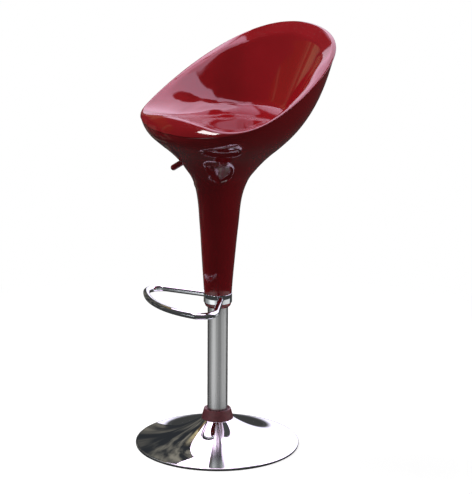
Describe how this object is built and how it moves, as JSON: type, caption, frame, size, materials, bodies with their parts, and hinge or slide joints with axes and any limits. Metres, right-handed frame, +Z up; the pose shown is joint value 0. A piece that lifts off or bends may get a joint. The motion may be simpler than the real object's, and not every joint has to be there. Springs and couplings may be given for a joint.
{
  "type": "height-adjustable swivel bar stool",
  "caption": "Bar stool with a glossy dark red moulded scoop seat on a flared neck, brushed column, chrome loop footrest and round trumpet base; the seat turns, rises and drops on a gas lift.",
  "frame": {"origin": "on the floor under the middle of the whole outline; the column's axis lies 37 mm in front of it (towards -Y)", "axes": "+Z up, the sitter faces -Y, +X is on the sitter's left"},
  "size_m": [0.468, 0.484, 1.041],
  "materials": {
    "seat_red": "high gloss moulded",
    "collar_red": "satin moulded",
    "chrome": "mirror plated",
    "brushed_steel": "brushed along its length",
    "zinc_steel": "zinc plated",
    "black_steel": "black powder coat",
    "black_rubber": "matte",
    "black_nylon": "matte moulded"
  },
  "bodies": {
    "base": {"base_dome": "chrome", "base_ring": "black_rubber", "base_plate": "black_steel", "base_hub": "black_steel", "base_collar": "collar_red", "column_tube": "brushed_steel", "column_bush": "black_nylon", "bearing_lower_race": "zinc_steel", "bearing_cage": "zinc_steel"},
    "spindle": {"bearing_upper_race": "zinc_steel", "piston_rod": "zinc_steel", "rod_clip": "black_steel", "bump_stop": "black_rubber"},
    "seat": {"gas_cylinder": "black_steel", "neck_bush": "seat_red", "seat_skirt": "seat_red", "seat_dish": "seat_red", "mount_plate": "black_steel", "mount_screw_1": "zinc_steel", "mount_screw_2": "zinc_steel", "mount_screw_3": "zinc_steel", "mount_screw_4": "zinc_steel", "mount_socket": "black_steel", "lever_pin": "zinc_steel", "footrest_clamp": "chrome", "footrest_loop": "chrome", "footrest_screw": "zinc_steel"},
    "lever": {"lever_arm": "zinc_steel", "lever_grip": "seat_red"},
    "release": {"release_pin": "zinc_steel"}
  },
  "joints": [
    {"name": "swivel", "type": "hinge", "parent": "base", "child": "spindle", "pos_m": [0, -0.037, 0.025], "axis": [0, 0, 1], "continuous": true},
    {"name": "lift", "type": "slide", "parent": "spindle", "child": "seat", "axis": [0, 0, 1], "range_m": [-0.21, 0]},
    {"name": "lever_tilt", "type": "hinge", "parent": "seat", "child": "lever", "pos_m": [-0.01358, -0.04723, 0.7645], "axis": [-0.6018, 0.7986, 0], "range_deg": [0, 6], "stiffness_Nm_per_rad": 1, "springref_deg": -5.73},
    {"name": "release_push", "type": "slide", "parent": "seat", "child": "release", "axis": [0, 0, 1], "range_m": [-0.002, 0]}
  ],
  "couplings": [
    {"joint": "release_push", "follows": "lever_tilt", "m_per_rad": -0.018}
  ]
}
